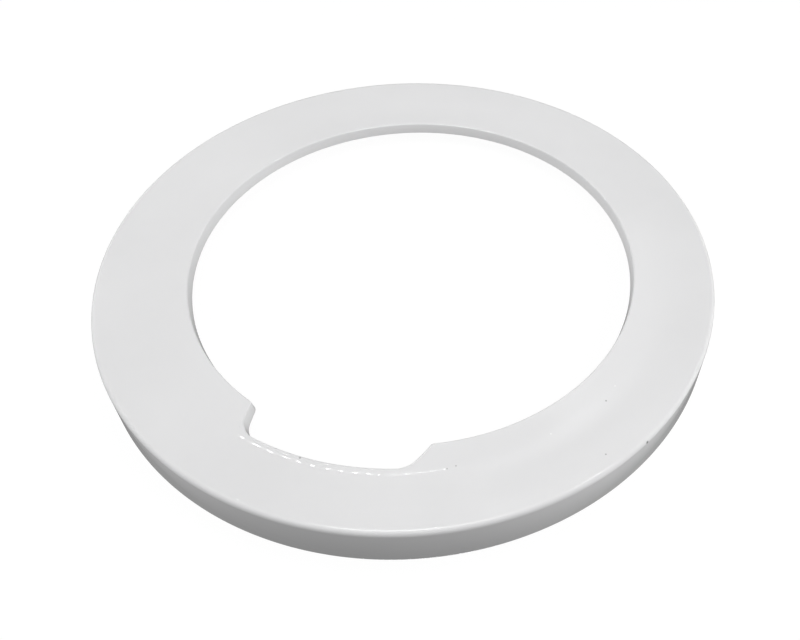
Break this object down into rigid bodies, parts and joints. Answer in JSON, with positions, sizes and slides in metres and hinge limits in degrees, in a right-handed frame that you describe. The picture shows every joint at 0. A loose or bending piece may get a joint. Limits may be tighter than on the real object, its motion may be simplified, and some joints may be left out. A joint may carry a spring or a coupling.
{
  "type": "washing machine outer door frame",
  "caption": "Round glossy white moulded ring that frames a washing machine's porthole, with a finger notch in its inner edge and screw bosses behind.",
  "frame": {"origin": "on the ring's axis, in the plane of the back rim that it lies on", "axes": "+Z along the ring's axis out of the front face; -Y towards the side of the handle notch"},
  "size_m": [0.4599, 0.46, 0.0305],
  "materials": {
    "gloss_white_plastic": "smooth glossy white moulded ABS"
  },
  "bodies": {
    "root": {"outer_door_frame": "gloss_white_plastic"}
  },
  "joints": []
}
